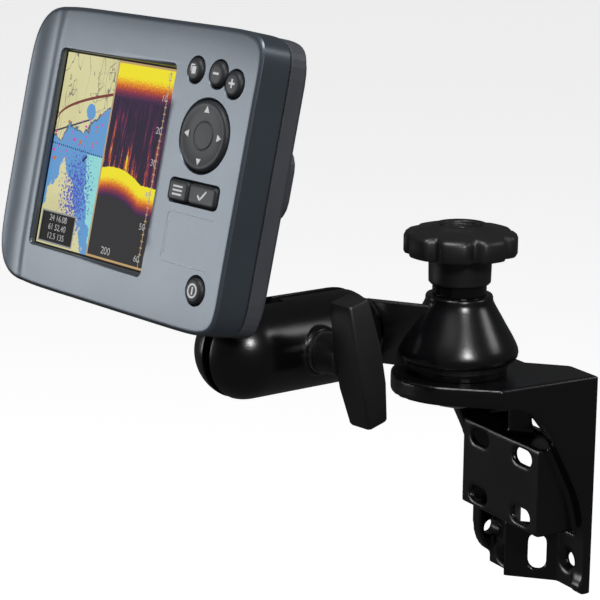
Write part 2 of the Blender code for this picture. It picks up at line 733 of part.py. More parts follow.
def ball_post_b(head):
    """Black post from the second ball up into the adapter."""
    at = post_axis()
    post = rod("ball_post", STEM_RADIUS, BALL_B.z + 9, ADAPTER_Z[0] - 3, mat=black_casting(), parent=head,
               at=at, sides=20)
    fuse(post, rod("post_collar", 5.6, ADAPTER_Z[0] - 5, ADAPTER_Z[0] - GAP, parent=head, at=at,
                   sides=6),
         rod("post_stud", 3.0, ADAPTER_Z[0] - 4, -6, parent=head, at=at, sides=16))
    return post


def balls(arm, head):
    first = ball("ball_wall_side", BALL_RADIUS, rubber(), arm, (0, ARM_HALF, 0), (0, 90, 0))
    carve(first, rod("ball_hole_a", STEM_RADIUS + GAP, ARM_HALF + 8, ARM_HALF + 30, "Y", parent=arm,
                     sides=20))
    second = ball("ball_head_side", BALL_RADIUS, rubber(), head, BALL_B)
    carve(second, rod("ball_hole_b", STEM_RADIUS + GAP, BALL_B.z + 8, BALL_B.z + 30, parent=head,
                      at=post_axis(), sides=20))


def main():
    start_scene()
    yaw = Matrix.Rotation(math.radians(ARM_YAW), 3, "Z")
    pitch = Matrix.Rotation(math.radians(ARM_PITCH), 3, "X")
    middle = BALL_A - yaw @ pitch @ Vector((0, ARM_HALF, 0))
    arm = frame_empty("arm_frame", middle, (ARM_PITCH, 0, ARM_YAW))
    turn = Euler([math.radians(a) for a in HEAD_TURN]).to_matrix()
    ball_b = BALL_A - yaw @ pitch @ Vector((0, 2 * ARM_HALF, 0))
    head = frame_empty("head_frame", ball_b - turn @ BALL_B, HEAD_TURN)
    bpy.context.view_layer.update()

    wall_bracket()
    pivot_stud()
    pivot_washers()
    clamp_knob()
    swing_arm(arm)
    balls(arm, head)
    socket_shell("socket_shell_near", 1, arm)
    socket_shell("socket_shell_far", -1, arm)
    clamp_bolt(arm)
    arm_spring(arm)
    clamp_handle(arm)

    front_housing(head)
    display_stack(head)
    keys(head)
    seam_gasket(head)
    rear_cover(head)
    rear_sockets(head)
    housing_screws(head)
    mount_adapter(head)
    ball_post_b(head)


main()
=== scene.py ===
"""Looks of the fish finder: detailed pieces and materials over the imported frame."""
import json
import math

import bmesh
import bpy
from mathutils import Matrix, Vector


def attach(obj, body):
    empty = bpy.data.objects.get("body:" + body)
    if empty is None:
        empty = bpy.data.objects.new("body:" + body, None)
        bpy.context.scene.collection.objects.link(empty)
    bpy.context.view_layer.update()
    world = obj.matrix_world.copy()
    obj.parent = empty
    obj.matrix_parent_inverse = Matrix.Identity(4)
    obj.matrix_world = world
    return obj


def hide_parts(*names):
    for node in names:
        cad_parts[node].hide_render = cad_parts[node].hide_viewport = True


MM = 0.001

# ---- places taken from the frame --------------------------------------------
BALL_B_IN_HEAD = Vector((40.2, 57.9, -76.7))
ARM_HALF = 29.0

# ---- camera and light -------------------------------------------------------
CAMERA_AT = (0.8577, -0.6403, 0.3016)
CAMERA_AZIMUTH = 59.93
CAMERA_ELEVATION = 13.6
CAMERA_ROLL = 0.51
CAMERA_LENS = 132.2
FLOOR_Z = -0.32
FLOOR_HALF = 16.0
FLOOR_GLOW = 0.80
WORLD_TONE = (0.93, 0.95, 0.97, 1)
WORLD_GLOW = 0.06
LIGHTS = {                     # place, target, size, power
    "key_light": ((-1.45, -1.95, 0.24), (-0.05, -0.2, 0.12), 1.05, 14),
    "camera_light": ((1.40, -0.40, 0.90), (0, -0.1, 0), 0.30, 9),
    "top_light": ((0.30, -0.75, 1.6), (0, -0.1, 0), 0.6, 13),
    "rear_light": ((0.9, 1.2, 1.0), (0, -0.1, 0.05), 0.5, 2.5)}

# ---- display head, in its own frame: X across, Y into the back, Z up ---------
HEAD_LEFT = 91.5
HEAD_RIGHT = 87.3
HEAD_TALL = 68.0               # half height
LEFT_POWER = 8.0
RIGHT_POWER = 13.0
OUTLINE_POINTS = 168
OUTLINE_PHASE = 0.37           # of one point, so that no point lies on an axis
SEAM_Y = 16.1
FACE_WALL = 2.4
FACE_FRONT = -1.0              # the face's middle
DOME_DROP = (0.3, 1.6)         # fall of the dome at the sides, and at the top and bottom
DOME_HALF = 88.0
BAND_DROP = 1.0
BEVEL_DROP = 0.9
EDGE_DROP = 1.1
EDGE_WIDTH = 1.7
CREST_X = -71.0                # crest between the left band and the window's bevel
PANEL_X = 31.5                 # soft edge of the keypad panel
WINDOW_AT = (-18.3, -0.5)
WINDOW = (91.0, 94.6)
ACTIVE = (89.4, 92.8)          # the lit part of the pane
PANE_Y = 3.2
ROUND_KEYS = {"key_pages": (43.3, 47.3, 5.4), "key_zoom_out": (59.7, 46.9, 5.8),
              "key_zoom_in": (71.9, 43.7, 5.8), "key_power": (70.1, -48.4, 6.0)}
BAR_KEYS = {"key_menu": (47.0, -6.9, 14.0, 9.3), "key_enter": (64.6, -6.9, 19.4, 9.3)}
DPAD = (57.6, 19.0, 16.6)
DPAD_SQUASH = 0.96
KEY_FRONT = -2.3
FIGURE_Y = PANE_Y - 0.04

# ---- pivot stack --------------------------------------------------------------
LOBES = 8
FLUTE_POWER = 5
KNOB_PHASE = 27.0
KNOB_STEPS = 240
LEVER_START = 3.0
LEVER_SECTION = [(-14, 19.6), (14, 19.6), (14, 50.2), (12.9, 51.2), (-14, 44.2)]
LEVER_EDGE = 1.1
SCOOP_RADIUS = 24.3            # room for the socket arm to turn
RELIEF_RADIUS = 26.5           # room for the washers
STEM_RADIUS = 4.4

# ---- socket arm and its handle ---------------------------------------------------
SHELL_RADIUS = 23.0
SHELL_SPLIT = 2.6
SOCKET_RADIUS = 19.35
HOLLOW = (17.0, 15.0)          # radius and half length of the space between the balls
BOLT_WAY = (4.3, 40.0)
BAR_TILT = 14.7
BAR_X = 48.0
BAR_SECTION = (17.5, 15.6)
BAR_STATIONS = ((-31.0, 0.74), (-30.0, 0.80), (-12.0, 0.98), (6.0, 1.0), (30.0, 0.82),
                (31.0, 0.76))
BAR_CORNER = 1.7


# ---- small helpers ------------------------------------------------------------
def basis(x, y, z, origin):
    matrix = Matrix((x, y, z)).transposed().to_4x4()
    matrix.translation = origin
    return matrix


def joint(name):
    return next(j for j in frame["joints"] if j["name"] == name)


def head_matrix():
    up = Vector(joint("head_turn")["axis"])
    back = Vector(joint("key_power_press")["axis"])
    across = back.cross(up)
    offset = BALL_B_IN_HEAD * MM
    pivot = Vector(joint("head_turn")["pos_m"])
    return basis(across, back, up, pivot - across * offset.x - back * offset.y - up * offset.z)


def arm_matrix():
    across = Vector(joint("wall_ball_tilt")["axis"])
    along = Vector(joint("wall_ball_roll")["axis"])
    return basis(across, along, across.cross(along), Vector(joint("handle_turn")["pos_m"]))


def hub_matrix():
    x, y, _ = joint("arm_swing")["pos_m"]
    return Matrix.Translation((x, y, 0))


def arc(centre, radius, start, end, count):
    angles = [math.radians(start + (end - start) * i / (count - 1)) for i in range(count)]
    return [(centre[0] + radius * math.cos(a), centre[1] + radius * math.sin(a)) for a in angles]


def rounded(centre, width, height, radius, count=7):
    x, y = width * 0.5 - radius, height * 0.5 - radius
    points = []
    for dx, dy, start in ((x, y, 0), (-x, y, 90), (-x, -y, 180), (x, -y, 270)):
        points += arc((centre[0] + dx, centre[1] + dy), radius, start, start + 90, count)
    return points


def circle(centre, radius, count=48):
    return arc(centre, radius, 0, 360 * (count - 1) / count, count)


def head_outline(inset):
    """A superellipse whose right half has tighter corners than its left."""
    points = []
    for i in range(OUTLINE_POINTS):
        angle = 2 * math.pi * (i + OUTLINE_PHASE) / OUTLINE_POINTS
        c, s = math.cos(angle), math.sin(angle)
        half, power = (HEAD_RIGHT, RIGHT_POWER) if c > 0 else (HEAD_LEFT, LEFT_POWER)
        x = math.copysign(abs(c) ** (2 / power), c) * (half - inset)
        z = math.copysign(abs(s) ** (2 / power), s) * (HEAD_TALL - inset)
        points.append((x, z))
    return points


def smooth_step(low, high, value):
    t = min(max((value - low) / (high - low), 0.0), 1.0)
    return t * t * (3 - 2 * t)


def make(name, build, matrix, sharp=35):
    """A mesh object from a bmesh function working in millimetres."""
    mesh = bpy.data.meshes.new(name)
    shape = bmesh.new()
    build(shape)
    bmesh.ops.scale(shape, vec=(MM, MM, MM), verts=shape.verts)
    bmesh.ops.recalc_face_normals(shape, faces=shape.faces)
    shape.to_mesh(mesh)
    shape.free()
    mesh.shade_smooth()
    mesh.set_sharp_from_angle(angle=math.radians(sharp))
    obj = bpy.data.objects.new(name, mesh)
    obj.matrix_world = matrix
    bpy.context.scene.collection.objects.link(obj)
    return obj


def finish_piece(obj, body, mat, nodes=()):
    obj.data.materials.clear()
    obj.data.materials.append(mat)
    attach(obj, body)
    if nodes:
        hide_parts(*nodes)
    return obj


def loft(shape, rings, loop=False):
    """Quads between rings of equal length; each ring is a list of 3-D points."""
    rows = [[shape.verts.new(p) for p in ring] for ring in rings]
    pairs = list(zip(rows, rows[1:]))
    if loop:
        pairs.append((rows[-1], rows[0]))
    for first, second in pairs:
        for i in range(len(first)):
            j = (i + 1) % len(first)
            shape.faces.new((first[i], first[j], second[j], second[i]))
    if not loop:
        shape.faces.new(rows[0][::-1])
        shape.faces.new(rows[-1])


def spin_rings(profile, axis, steps):
    """Rings for a loft, from (radius, height) pairs turned about one axis."""
    rings = []
    for radius, height in profile:
        ring = []
        for i in range(steps):
            angle = 2 * math.pi * i / steps
            u, v = radius * math.cos(angle), radius * math.sin(angle)
            ring.append({"Z": (u, v, height), "X": (height, u, v), "Y": (v, height, u)}[axis])
        rings.append(ring)
    return rings


def turned(name, profile, matrix, axis="Z", steps=72, loop=False, sharp=35):
    return make(name, lambda shape: loft(shape, spin_rings(profile, axis, steps), loop=loop),
                matrix, sharp)


def prism(shape, outline, low, high, axis="Y"):
    def at(u, v, w):
        return {"Y": (u, w, v), "Z": (u, v, w), "X": (w, u, v)}[axis]
    loft(shape, [[at(u, v, low) for u, v in outline], [at(u, v, high) for u, v in outline]])


def settle(obj):
    """Applies the object's modifiers, so that its mesh is final."""
    bpy.context.view_layer.update()
    graph = bpy.context.evaluated_depsgraph_get()
    mesh = bpy.data.meshes.new_from_object(obj.evaluated_get(graph))
    obj.modifiers.clear()
    obj.data = mesh
    return obj


def cut(obj, cutters, operation="DIFFERENCE"):
    for other in cutters:
        step = obj.modifiers.new("cut", "BOOLEAN")
        step.operation = operation
        step.solver = "EXACT"
        step.object = other
    settle(obj)
    for other in cutters:
        bpy.data.objects.remove(other)
    return obj


def smooth_by_angle(obj, degrees):
    obj.data.shade_smooth()
    obj.data.set_sharp_from_angle(angle=math.radians(degrees))


def softened(node, name, voxel, rounds, keep):
    """A detailed copy of a CAD casting with cast, rounded edges."""
    obj = bpy.data.objects.new(name, frame["nodes"][node].data.copy())
    bpy.context.scene.collection.objects.link(obj)
    weld = obj.modifiers.new("weld", "WELD")
    weld.merge_threshold = 0.00001
    remesh = obj.modifiers.new("remesh", "REMESH")
    remesh.mode = "VOXEL"
    remesh.voxel_size = voxel * MM
    relax = obj.modifiers.new("relax", "SMOOTH")
    relax.factor = 0.5
    relax.iterations = rounds
    thin = obj.modifiers.new("thin", "DECIMATE")
    thin.ratio = keep
    settle(obj)
    smooth_by_angle(obj, 50)
    return obj


# ---- materials ----------------------------------------------------------------
BLOTCH = 0.12                  # how far a surface's tone strays either way


class Graph:
    """Short names for building a material's nodes."""

    def __init__(self, name):
        self.material = bpy.data.materials.new(name)
        self.material.use_nodes = True
        self.tree = self.material.node_tree
        self.shader = self.tree.nodes["Principled BSDF"]

    def node(self, kind, **settings):
        made = self.tree.nodes.new(kind)
        for key, value in settings.items():
            setattr(made, key, value)
        return made

    def plug(self, socket, value):
        if isinstance(value, bpy.types.NodeSocket):
            self.tree.links.new(value, socket)
        else:
            socket.default_value = value

    def math(self, operation, *values, clamp=False):
        made = self.node("ShaderNodeMath", operation=operation, use_clamp=clamp)
        for socket, value in zip(made.inputs, values):
            self.plug(socket, value)
        return made.outputs[0]

    def object_point(self):
        return self.node("ShaderNodeTexCoord").outputs["Object"]

    def noise(self, point, scale, detail=3.0, roughness=0.5):
        made = self.node("ShaderNodeTexNoise")
        self.plug(made.inputs["Vector"], point)
        made.inputs["Scale"].default_value = scale
        made.inputs["Detail"].default_value = detail
        made.inputs["Roughness"].default_value = roughness
        return made.outputs["Fac"]

    def ramp(self, value, stops):
        made = self.node("ShaderNodeValToRGB")
        self.plug(made.inputs[0], value)
        elements = made.color_ramp.elements
        while len(elements) > 1:
            elements.remove(elements[-1])
        for i, (place, colour) in enumerate(stops):
            element = elements[0] if i == 0 else elements.new(place)
            element.position = place
            element.color = (*colour, 1.0)
        return made.outputs[0]

    def mix(self, factor, first, second):
        made = self.node("ShaderNodeMix", data_type="RGBA")
        self.plug(made.inputs["Factor"], factor)
        self.plug(made.inputs["A"], first if not isinstance(first, tuple) else (*first, 1.0))
        self.plug(made.inputs["B"], second if not isinstance(second, tuple) else (*second, 1.0))
        return made.outputs["Result"]

    def set(self, **values):
        for key, value in values.items():
            self.plug(self.shader.inputs[key.replace("_", " ")], value)


def surface(name, colour, roughness, grain=1500.0, bump=0.05, specular=0.5, edge=0.0, edge_sheen=0.0):
    """A worked surface: fine grain in the bump, slow variation in colour and gloss, and a painted
    highlight on sharp convex edges where asked.
    """
    g = Graph(name)
    point = g.object_point()
    slow = g.noise(point, 28.0, 4.0)
    fine = g.noise(point, grain, 2.0)
    darker = tuple(c * (1 - BLOTCH) for c in colour)
    lighter = tuple(min(c * (1 + BLOTCH), 1.0) for c in colour)
    tone = g.ramp(slow, [(0.3, darker), (0.7, lighter)])
    # painted highlight: sharp convex edges (high pointiness) are lightened towards grey, in patches
    # set by the slow noise
    if edge_sheen:
        geometry = g.node("ShaderNodeNewGeometry")
        rim = g.math("MULTIPLY_ADD", geometry.outputs["Pointiness"], 18.0, -9.55, clamp=True)
        painted_edge_glint = g.math("MULTIPLY", rim, g.math("MULTIPLY", slow, edge_sheen))
        tone = g.mix(painted_edge_glint, tone, tuple(min(c * 3 + 0.10, 1.0) for c in colour))
    gloss = g.math("MULTIPLY_ADD", slow, roughness * 0.35, roughness * 0.82)
    height = g.node("ShaderNodeBump")
    height.inputs["Strength"].default_value = bump
    height.inputs["Distance"].default_value = 0.0004
    g.plug(height.inputs["Height"], fine)
    if edge:
        bevel = g.node("ShaderNodeBevel", samples=6)
        bevel.inputs["Radius"].default_value = edge * MM
        g.plug(height.inputs["Normal"], bevel.outputs[0])
    g.set(Base_Color=tone, Roughness=gloss, Normal=height.outputs[0])
    g.shader.inputs["Specular IOR Level"].default_value = specular
    return g.material


def head_paint():
    """Satin metallic paint: fine bright flakes under a thin clear coat."""
    g = Graph("head_paint")
    point = g.object_point()
    flakes = g.noise(point, 5200.0, 1.0)
    slow = g.noise(point, 20.0, 3.0)
    base = g.ramp(slow, [(0.25, (0.092, 0.114, 0.140)), (0.75, (0.118, 0.142, 0.170))])
    tone = g.mix(g.ramp(flakes, [(0.60, (0, 0, 0)), (0.72, (0.35, 0.35, 0.35))]), base,
                 (0.25, 0.285, 0.33))
    height = g.node("ShaderNodeBump")
    height.inputs["Strength"].default_value = 0.05
    height.inputs["Distance"].default_value = 0.0002
    g.plug(height.inputs["Height"], g.noise(point, 900.0, 3.0))
    g.set(Base_Color=tone, Metallic=0.55, Normal=height.outputs[0],
          Roughness=g.math("MULTIPLY_ADD", flakes, 0.10, 0.30))
    g.shader.inputs["Coat Weight"].default_value = 0.35
    g.shader.inputs["Coat Roughness"].default_value = 0.2
    return g.material


def brushed(name, colour, roughness):
    """Turned metal with fine rings of tool marks."""
    g = Graph(name)
    point = g.object_point()
    streak = g.noise(point, 600.0, 6.0, 0.7)
    tone = g.ramp(streak, [(0.3, tuple(c * 0.8 for c in colour)), (0.7, colour)])
    height = g.node("ShaderNodeBump")
    height.inputs["Strength"].default_value = 0.08
    height.inputs["Distance"].default_value = 0.0003
    g.plug(height.inputs["Height"], streak)
    g.set(Base_Color=tone, Metallic=1.0, Normal=height.outputs[0],
          Roughness=g.math("MULTIPLY_ADD", streak, 0.2, roughness))
    return g.material


def ink(name, colour):
    """Printed symbols: slightly uneven ink."""
    g = Graph(name)
    patchy = g.noise(g.object_point(), 1400.0, 3.0)
    g.set(Base_Color=g.ramp(patchy, [(0.2, tuple(c * 0.88 for c in colour)), (0.6, colour)]),
          Roughness=0.5)
    return g.material


def lit_screen():
    """Split page: chart on the left, sonar history on the right, on a black border."""
    page_split = 0.478             # where the chart ends and the sonar history begins
    scale_u = 0.935
    box_u, box_v, box_wide, box_tall, box_rim = 0.172, 0.092, 0.160, 0.084, 0.008
    vessel_u, vessel_v = 0.315, 0.475
    g = Graph("lit_screen")
    split = g.node("ShaderNodeSeparateXYZ")
    g.plug(split.inputs[0], g.object_point())
    across, up = split.outputs[0], split.outputs[2]
    left = (WINDOW_AT[0] - ACTIVE[0] * 0.5) * MM
    low = (WINDOW_AT[1] - ACTIVE[1] * 0.5) * MM
    u = g.math("DIVIDE", g.math("SUBTRACT", across, left), ACTIVE[0] * MM)
    v = g.math("DIVIDE", g.math("SUBTRACT", up, low), ACTIVE[1] * MM)

    def field(su, sv, scale=1.0, detail=3.0, roughness=0.5, shift=0.0):
        place = g.node("ShaderNodeCombineXYZ")
        g.plug(place.inputs[0], g.math("MULTIPLY", u, su))
        g.plug(place.inputs[1], g.math("MULTIPLY", v, sv))
        place.inputs[2].default_value = shift
        return g.noise(place.outputs[0], scale, detail, roughness)

    def step(edge, value):
        return g.math("GREATER_THAN", value, edge)

    def band(value, middle, half):
        return g.math("LESS_THAN", g.math("ABSOLUTE", g.math("SUBTRACT", value, middle)), half)

    def both(*masks):
        result = masks[0]
        for mask in masks[1:]:
            result = g.math("MULTIPLY", result, mask)
        return result

    def inverse(mask):
        return g.math("SUBTRACT", 1.0, mask)

    # chart: land above a ragged coast, a tongue of land at the lower left
    coast = field(3.0, 3.0, 1.7, 7.0, 0.62)
    wobble = g.math("MULTIPLY_ADD", coast, 0.34, -0.17)
    shore = g.math("MULTIPLY_ADD", u, 0.36, 0.555)
    north = g.math("GREATER_THAN", g.math("ADD", v, wobble), shore)
    cove_x = g.math("SUBTRACT", u, 0.30)
    cove_y = g.math("SUBTRACT", v, 0.715)
    cove = g.math("ADD", g.math("MULTIPLY", cove_x, cove_x), g.math("MULTIPLY", cove_y, cove_y))
    ragged_cove = g.math("ADD", cove, g.math("MULTIPLY", wobble, 0.02))
    north = both(north, g.math("GREATER_THAN", ragged_cove, 0.0021))
    tongue_low = g.math("MULTIPLY_ADD", v, 0.42, -0.075)
    tongue_high = g.math("MULTIPLY_ADD", v, -0.62, 0.415)
    ragged = g.math("ADD", u, wobble)
    tongue = both(g.math("GREATER_THAN", ragged, tongue_low),
                  g.math("LESS_THAN", ragged, tongue_high), g.math("LESS_THAN", v, 0.46))
    land = g.math("MAXIMUM", north, tongue)
    shallow_edge = g.math("MULTIPLY_ADD", v, -0.30, 0.475)
    shallow = both(g.math("GREATER_THAN", g.math("ADD", u, g.math("MULTIPLY", wobble, 0.6)),
                          shallow_edge), g.math("LESS_THAN", v, 0.50), inverse(tongue))
    chart = g.mix(shallow, (0.13, 0.34, 0.66), (0.30, 0.72, 0.70))
    patch = field(2.0, 2.0, 1.3, 2.0, 0.4, 12.0)
    land_tone = g.ramp(patch, [(0.40, (0.66, 0.62, 0.33)), (0.60, (0.73, 0.69, 0.37))])
    chart = g.mix(land, chart, land_tone)
    coast_line = both(band(g.math("ADD", v, wobble), shore, 0.006), step(0.5, v))
    chart = g.mix(coast_line, chart, (0.10, 0.14, 0.20))
    lanes = field(3.6, 1.2, 2.2, 3.0, 0.45, 3.0)
    side_lanes = field(4.6, 1.0, 2.0, 2.0, 0.40, 17.0)
    rough_lanes = field(1.5, 3.6, 1.9, 3.0, 0.5, 8.0)
    roads = g.math("MAXIMUM", band(lanes, 0.47, 0.0035), band(rough_lanes, 0.55, 0.003))
    roads = g.math("MAXIMUM", roads, band(side_lanes, 0.53, 0.0035))
    chart = g.mix(both(roads, north), chart, (0.26, 0.24, 0.17))
    main_road = g.math("MULTIPLY_ADD", g.math("SQRT", g.math("MAXIMUM", u, 0.0)), 0.26, 0.645)
    chart = g.mix(both(band(v, main_road, 0.0075), north), chart, (0.20, 0.045, 0.035))
    branch_road = g.math("MULTIPLY_ADD", u, 0.30, 0.585)
    chart = g.mix(both(band(v, branch_road, 0.005), north, g.math("LESS_THAN", u, 0.30)), chart,
                  (0.05, 0.05, 0.10))
    speck = field(62.0, 62.0, 1.0, 4.0, 0.7, 1.0)
    cloud_x = g.math("SUBTRACT", u, 0.285)
    cloud_y = g.math("SUBTRACT", v, 0.29)
    reach = g.math("ADD", g.math("MULTIPLY", cloud_x, cloud_x),
                   g.math("MULTIPLY", g.math("MULTIPLY", cloud_y, cloud_y), 0.42))
    sprinkle = g.math("MULTIPLY_ADD", reach, 5.0, 0.475)
    chart = g.mix(both(g.math("GREATER_THAN", speck, sprinkle), inverse(north)), chart,
                  (0.07, 0.10, 0.52))
    lean = g.math("MULTIPLY", g.math("SUBTRACT", v, vessel_v), 0.9)
    slant = band(g.math("SUBTRACT", u, vessel_u), lean, 0.011)
    vessel = both(band(u, vessel_u, 0.020), band(v, vessel_v, 0.017), slant)
    chart = g.mix(vessel, chart, (0.015, 0.015, 0.12))
    marks = field(34.0, 40.0, 1.0, 1.0, 0.3, 5.0)
    near_shore = band(g.math("SUBTRACT", v, shore), -0.05, 0.11)
    chart = g.mix(both(step(0.685, marks), near_shore), chart, (0.66, 0.05, 0.46))
    buoys = field(38.0, 30.0, 1.0, 1.0, 0.3, 21.0)
    chart = g.mix(both(step(0.70, buoys), near_shore), chart, (0.50, 0.20, 0.06))
    dashes = g.math("GREATER_THAN", g.math("SINE", g.math("MULTIPLY", u, 330.0)), 0.0)
    route = g.math("MULTIPLY_ADD", u, -0.05, 0.525)
    chart = g.mix(both(band(v, route, 0.004), dashes), chart, (0.03, 0.03, 0.05))

    # sonar: surface clutter, streaks of fish and weed, then the bottom's echo
    grit = field(95.0, 95.0, 1.0, 4.0, 0.8, 2.0)
    surface_echo = g.math("MULTIPLY_ADD", v, 6.6, -5.30)
    streak = field(30.0, 2.6, 1.0, 6.0, 0.74, 4.0)
    rise = g.math("MULTIPLY_ADD", v, -3.2, 2.75, clamp=True)
    weed = g.math("MULTIPLY", g.math("MULTIPLY_ADD", streak, 5.8, -2.75, clamp=True), rise)
    weed = g.math("MULTIPLY", weed, g.math("MULTIPLY_ADD", u, -2.4, 2.75, clamp=True))
    hump_x = g.math("SUBTRACT", u, 0.60)
    hump = g.math("MULTIPLY_ADD", g.math("MULTIPLY", hump_x, hump_x), -1.05, 0.468)
    hump = g.math("MAXIMUM", hump, g.math("MULTIPLY_ADD", u, -0.02, 0.425))
    hump = g.math("ADD", hump, g.math("MULTIPLY_ADD", grit, 0.02, -0.010))
    below = g.math("SUBTRACT", hump, v)
    weed = g.math("MULTIPLY", weed, g.math("LESS_THAN", below, 0.0))
    bottom_echo = g.math("MULTIPLY_ADD", below, -7.6, 1.18)
    bottom_echo = g.math("MULTIPLY", bottom_echo, g.math("GREATER_THAN", below, 0.0))
    echo = g.math("MAXIMUM", g.math("MAXIMUM", surface_echo, weed), bottom_echo)
    grain = g.math("MULTIPLY_ADD", grit, 1.10, -0.55)
    echo = g.math("ADD", echo, g.math("MULTIPLY", grain, g.math("MULTIPLY_ADD", echo, 0.6, 0.35)),
                  clamp=True)
    water = g.ramp(echo, [(0.0, (0.022, 0.014, 0.035)), (0.14, (0.055, 0.018, 0.070)),
                          (0.30, (0.22, 0.025, 0.060)), (0.46, (0.55, 0.09, 0.020)),
                          (0.62, (0.86, 0.34, 0.015)), (0.78, (0.92, 0.80, 0.020))])
    sea_bed = step(0.150, below)
    water = g.mix(sea_bed, water, (0.026, 0.024, 0.026))

    sonar_side = step(page_split, u)
    page = g.mix(sonar_side, chart, water)
    rule = g.math("MAXIMUM", band(u, page_split, 0.006),
                  both(band(u, scale_u, 0.0022), sonar_side))
    ticks = both(g.math("GREATER_THAN", g.math("SINE", g.math("MULTIPLY", v, 188.5)), 0.86),
                 band(u, scale_u, 0.010))
    page = g.mix(g.math("MAXIMUM", rule, ticks), page, (0.50, 0.36, 0.20))
    box_mask = both(band(u, box_u, box_wide), band(v, box_v, box_tall))
    page = g.mix(box_mask, page, (0.008, 0.008, 0.008))
    box_field = both(band(u, box_u, box_wide - box_rim), band(v, box_v, box_tall - box_rim))
    box_line = both(box_mask, inverse(box_field))
    page = g.mix(box_line, page, (0.30, 0.30, 0.30))
    edge_u = g.math("ABSOLUTE", g.math("SUBTRACT", u, 0.5))
    edge_v = g.math("ABSOLUTE", g.math("SUBTRACT", v, 0.5))
    edge = g.math("MAXIMUM", edge_u, edge_v)
    frame_line = both(sonar_side, g.math("GREATER_THAN", edge, 0.489))
    page = g.mix(frame_line, page, (0.55, 0.36, 0.16))
    outside = step(0.5, edge)
    page = g.mix(outside, page, (0.004, 0.004, 0.005))
    g.set(Base_Color=(0.004, 0.004, 0.005, 1.0), Roughness=0.30, Emission_Color=page)
    g.shader.inputs["Emission Strength"].default_value = 0.90
    g.shader.inputs["Specular IOR Level"].default_value = 0.03
    return g.material


# ---- display head pieces --------------------------------------------------------
def face_height(x, z, inset):
    """Depth of the face at a point: low dome, left band, keypad panel."""
    wide, tall = DOME_DROP
    dome = FACE_FRONT + tall * (abs(z) / HEAD_TALL) ** 5 + wide * (abs(x) / DOME_HALF) ** 8
    band = BAND_DROP * (1 - smooth_step(-DOME_HALF, CREST_X, x)) ** 1.4
    inner = smooth_step(CREST_X, CREST_X + 4.5, x)
    bevel = BEVEL_DROP * inner * (1 - smooth_step(PANEL_X - 6, PANEL_X, x))
    edge = EDGE_DROP * (1 - min(inset / EDGE_WIDTH, 1.0)) ** 2
    return dome + band + bevel + edge


def face_rings():
    insets = [0.0, 0.12, 0.4, 0.8, 1.25, 1.7, 2.5] + [3.4 + 62.0 * (i / 46) for i in range(47)]
    rings = []
    for inset in insets[::-1]:
        rings.append([(x, face_height(x, z, inset), z) for x, z in head_outline(inset)])
    for y in (4.5, 8.0, 12.0, SEAM_Y - 0.5):
        rings.append([(x, max(y, face_height(x, z, 0.0) + 0.5), z) for x, z in head_outline(0.0)])
    rings.append([(x, SEAM_Y, z) for x, z in head_outline(0.5)])
    rings.append([(x, SEAM_Y, z) for x, z in head_outline(FACE_WALL)])
    for inset in (FACE_WALL, FACE_WALL + 6, 30.0, 60.0):
        rings.append([(x, face_height(x, z, inset) + 3.0 if inset > FACE_WALL else
                       max(face_height(x, z, 0) + 2.0, 5.0), z) for x, z in head_outline(inset)])
    return rings


def window_cutter(name, matrix):
    def build(shape):
        rings = []
        for y, grow in ((-6.0, 1.9), (-0.3, 1.9), (0.25, 0.7), (0.9, 0.15), (1.6, 0.0), (9.0, 0.0)):
            outline = rounded(WINDOW_AT, WINDOW[0] + 2 * grow, WINDOW[1] + 2 * grow,
                              2.2 + grow * 0.5)
            rings.append([(x, y, z) for x, z in outline])
        loft(shape, rings)
    return make(name, build, matrix)


def flattened(outline, middle):
    """The arrow pad is a little lower than it is wide."""
    return [(u, middle + (w - middle) * DPAD_SQUASH) for u, w in outline]


def key_cutters(matrix):
    cutters = []
    for name, (x, z, radius) in {**ROUND_KEYS, "key_arrows": DPAD}.items():
        def build(shape, x=x, z=z, radius=radius, name=name):
            rings = []
            for y, grow in ((-8.0, 1.5), (-1.1, 1.5), (-0.2, 0.7), (0.6, 0.35), (9.0, 0.35)):
                outline = circle((x, z), radius + grow, 56)
                if name == "key_arrows":
                    outline = flattened(outline, z)
                rings.append([(u, y, w) for u, w in outline])
            loft(shape, rings)
        cutters.append(make(name + "_dish", build, matrix))

    def bar(shape):
        rings = []
        for y, grow in ((-8.0, 1.1), (-0.9, 1.1), (0.1, 0.4), (9.0, 0.4)):
            outline = rounded((57.2, -6.9), 34.4 + 2 * grow, 9.3 + 2 * grow, 1.8 + grow)
            rings.append([(u, y, w) for u, w in outline])
        loft(shape, rings)
    cutters.append(make("bar_dish", bar, matrix))
    return cutters


def head_face(paint):
    obj = make("face_housing", lambda shape: loft(shape, face_rings()), head)
    for cutter in key_cutters(head) + [window_cutter("window_cutter", head)]:
        cut(obj, [cutter])
    smooth_by_angle(obj, 32)
    return finish_piece(obj, "display_head", paint, ["front_housing"])


def window_pane(mat):
    def build(shape):
        rings = []
        for y, grow in ((PANE_Y + 1.2, 1.6), (PANE_Y + 0.2, 1.6), (PANE_Y, 1.4)):
            outline = rounded(WINDOW_AT, WINDOW[0] + 2 * grow, WINDOW[1] + 2 * grow, 3.0)
            rings.append([(x, y, z) for x, z in outline])
        loft(shape, rings)
    return finish_piece(make("window_pane", build, head), "display_head", mat,
                        ["window"])


def dome_key(name, mat):
    x, z, radius = ROUND_KEYS[name]
    profile = [(radius, 3.6), (radius, -0.6), (radius - 0.25, -1.35), (radius - 0.9, -2.0),
               (radius - 1.6, KEY_FRONT), (radius * 0.45, KEY_FRONT - 0.1),
               (0.05, KEY_FRONT - 0.12)]

    def build(shape):
        rings = []
        for r, y in profile:
            rings.append([(u, y, w) for u, w in circle((x, z), r, 48)])
        loft(shape, rings)
    return finish_piece(make(name + "_cap", build, head), name, mat, [name])


